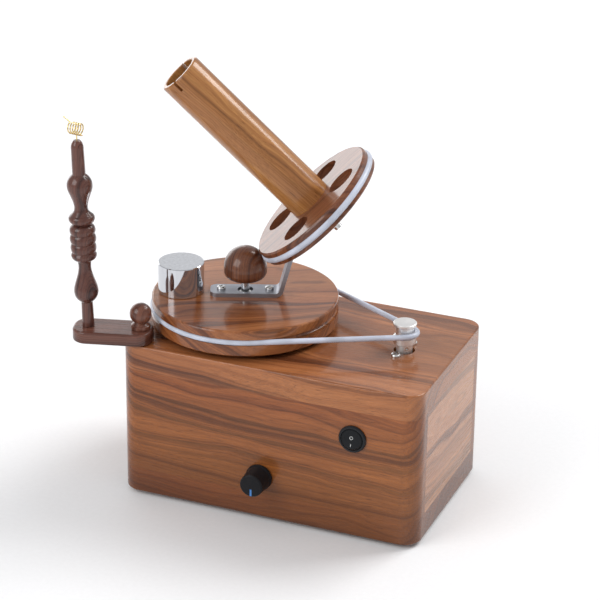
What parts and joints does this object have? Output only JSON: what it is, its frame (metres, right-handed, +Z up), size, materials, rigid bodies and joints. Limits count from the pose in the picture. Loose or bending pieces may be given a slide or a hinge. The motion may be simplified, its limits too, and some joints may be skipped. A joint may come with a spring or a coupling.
{
  "type": "electric yarn ball winder",
  "caption": "Belt-driven yarn ball winder: wooden box, spinning turntable with leaning bobbin rolling on a dome, counterweight and yarn guide arm.",
  "frame": {"origin": "middle of the object's bounding box, on the plane that the rubber feet stand on", "axes": "+Z up; +X along the box towards the drive pulley; +Y from the front panel, with the switch and the speed knob, to the back"},
  "size_m": [0.2676, 0.1584, 0.3221],
  "materials": {
    "rosewood_box": "lacquered red-brown hardwood with dark wavy grain",
    "rosewood_end": "lacquered hardwood, end grain",
    "rosewood_disc": "glossy turned hardwood",
    "rosewood_tube": "glossy golden-brown turned hardwood",
    "rosewood_dark": "dark glossy turned hardwood",
    "polished_steel": "mirror-polished steel",
    "satin_steel": "satin steel strip",
    "zinc_steel": "bright zinc-plated steel",
    "turned_aluminium": "turned aluminium",
    "brass_wire": "bright brass",
    "white_rubber": "smooth white elastic polyurethane",
    "black_rubber": "soft black rubber",
    "black_plastic": "black moulded plastic",
    "blue_paint": "blue pointer insert",
    "green_board": "green circuit board",
    "copper": "enamelled copper winding"
  },
  "bodies": {
    "base": {"top_board": "rosewood_box", "bottom_board": "rosewood_box", "front_board": "rosewood_box", "back_board": "rosewood_box", "left_end_board": "rosewood_end", "right_end_board": "rosewood_end", "bottom_screws": "zinc_steel", "rubber_feet": "black_rubber", "small_screws": "zinc_steel", "switch_housing": "black_plastic", "switch_tabs": "brass_wire", "speed_control_body": "zinc_steel", "panel_nuts": "zinc_steel", "power_inlet": "black_plastic", "controller_board": "green_board", "controller_posts": "brass_wire", "heat_sink": "turned_aluminium", "controller_parts": "black_plastic", "motor_can": "zinc_steel", "motor_end_cap": "black_plastic", "motor_magnets": "black_plastic", "motor_screws": "zinc_steel", "drive_belt": "white_rubber", "centre_shaft": "zinc_steel", "shaft_spacers": "zinc_steel", "shaft_nuts": "zinc_steel", "centre_dome": "rosewood_disc", "turntable_inner_races": "polished_steel", "arm_insert": "brass_wire", "arm_washer": "black_plastic"},
    "turntable": {"turntable": "rosewood_disc", "turntable_outer_races": "polished_steel", "turntable_balls": "polished_steel", "counterweight": "polished_steel", "counterweight_screw": "zinc_steel", "bobbin_bracket": "satin_steel", "bracket_screws": "zinc_steel", "bobbin_axle": "zinc_steel", "axle_nuts": "zinc_steel", "axle_washers": "zinc_steel", "bobbin_inner_races": "polished_steel"},
    "bobbin": {"bobbin_flange": "rosewood_disc", "bobbin_tube": "rosewood_tube", "bobbin_hub": "rosewood_tube", "friction_tyre": "white_rubber", "bobbin_outer_races": "polished_steel", "bobbin_balls": "polished_steel"},
    "motor_rotor": {"motor_shaft": "polished_steel", "motor_core": "copper", "drive_pulley": "turned_aluminium", "pulley_grub_screw": "zinc_steel"},
    "rocker": {"switch_rocker": "black_plastic"},
    "speed_knob": {"speed_knob": "black_plastic", "knob_pointer": "blue_paint", "speed_control_shaft": "zinc_steel"},
    "guide_arm": {"guide_arm": "rosewood_dark", "guide_post": "rosewood_dark", "yarn_eyelet": "brass_wire"},
    "thumb_screw": {"thumb_knob": "rosewood_dark", "thumb_stud": "zinc_steel"}
  },
  "joints": [
    {"name": "turntable_spin", "type": "hinge", "parent": "base", "child": "turntable", "pos_m": [-0.02685, 0.0077, 0.1237], "axis": [0, 0, 1], "continuous": true},
    {"name": "bobbin_spin", "type": "hinge", "parent": "turntable", "child": "bobbin", "pos_m": [0.01608, 0.02504, 0.2167], "axis": [-0.6499, -0.2626, 0.7133], "continuous": true},
    {"name": "motor_spin", "type": "hinge", "parent": "base", "child": "motor_rotor", "pos_m": [0.09685, 0.0077, 0.1205], "axis": [0, 0, 1], "continuous": true},
    {"name": "rocker_tilt", "type": "hinge", "parent": "base", "child": "rocker", "pos_m": [0.08525, -0.0603, 0.0803], "axis": [1, 0, 0], "range_deg": [0, 18]},
    {"name": "speed_knob_turn", "type": "hinge", "parent": "base", "child": "speed_knob", "pos_m": [0.01485, -0.0628, 0.0354], "axis": [0, 1, 0], "range_deg": [0, 300]},
    {"name": "guide_arm_swing", "type": "hinge", "parent": "base", "child": "guide_arm", "pos_m": [-0.08255, -0.0523, 0.121], "axis": [0, 0, 1], "range_deg": [-45, 75]},
    {"name": "thumb_screw_turn", "type": "hinge", "parent": "base", "child": "thumb_screw", "pos_m": [-0.08255, -0.0523, 0.13], "axis": [0, 0, 1], "range_deg": [0, 360]}
  ],
  "couplings": [
    {"joint": "bobbin_spin", "follows": "turntable_spin", "ratio": 0.22421},
    {"joint": "motor_spin", "follows": "turntable_spin", "ratio": 7.6364}
  ]
}
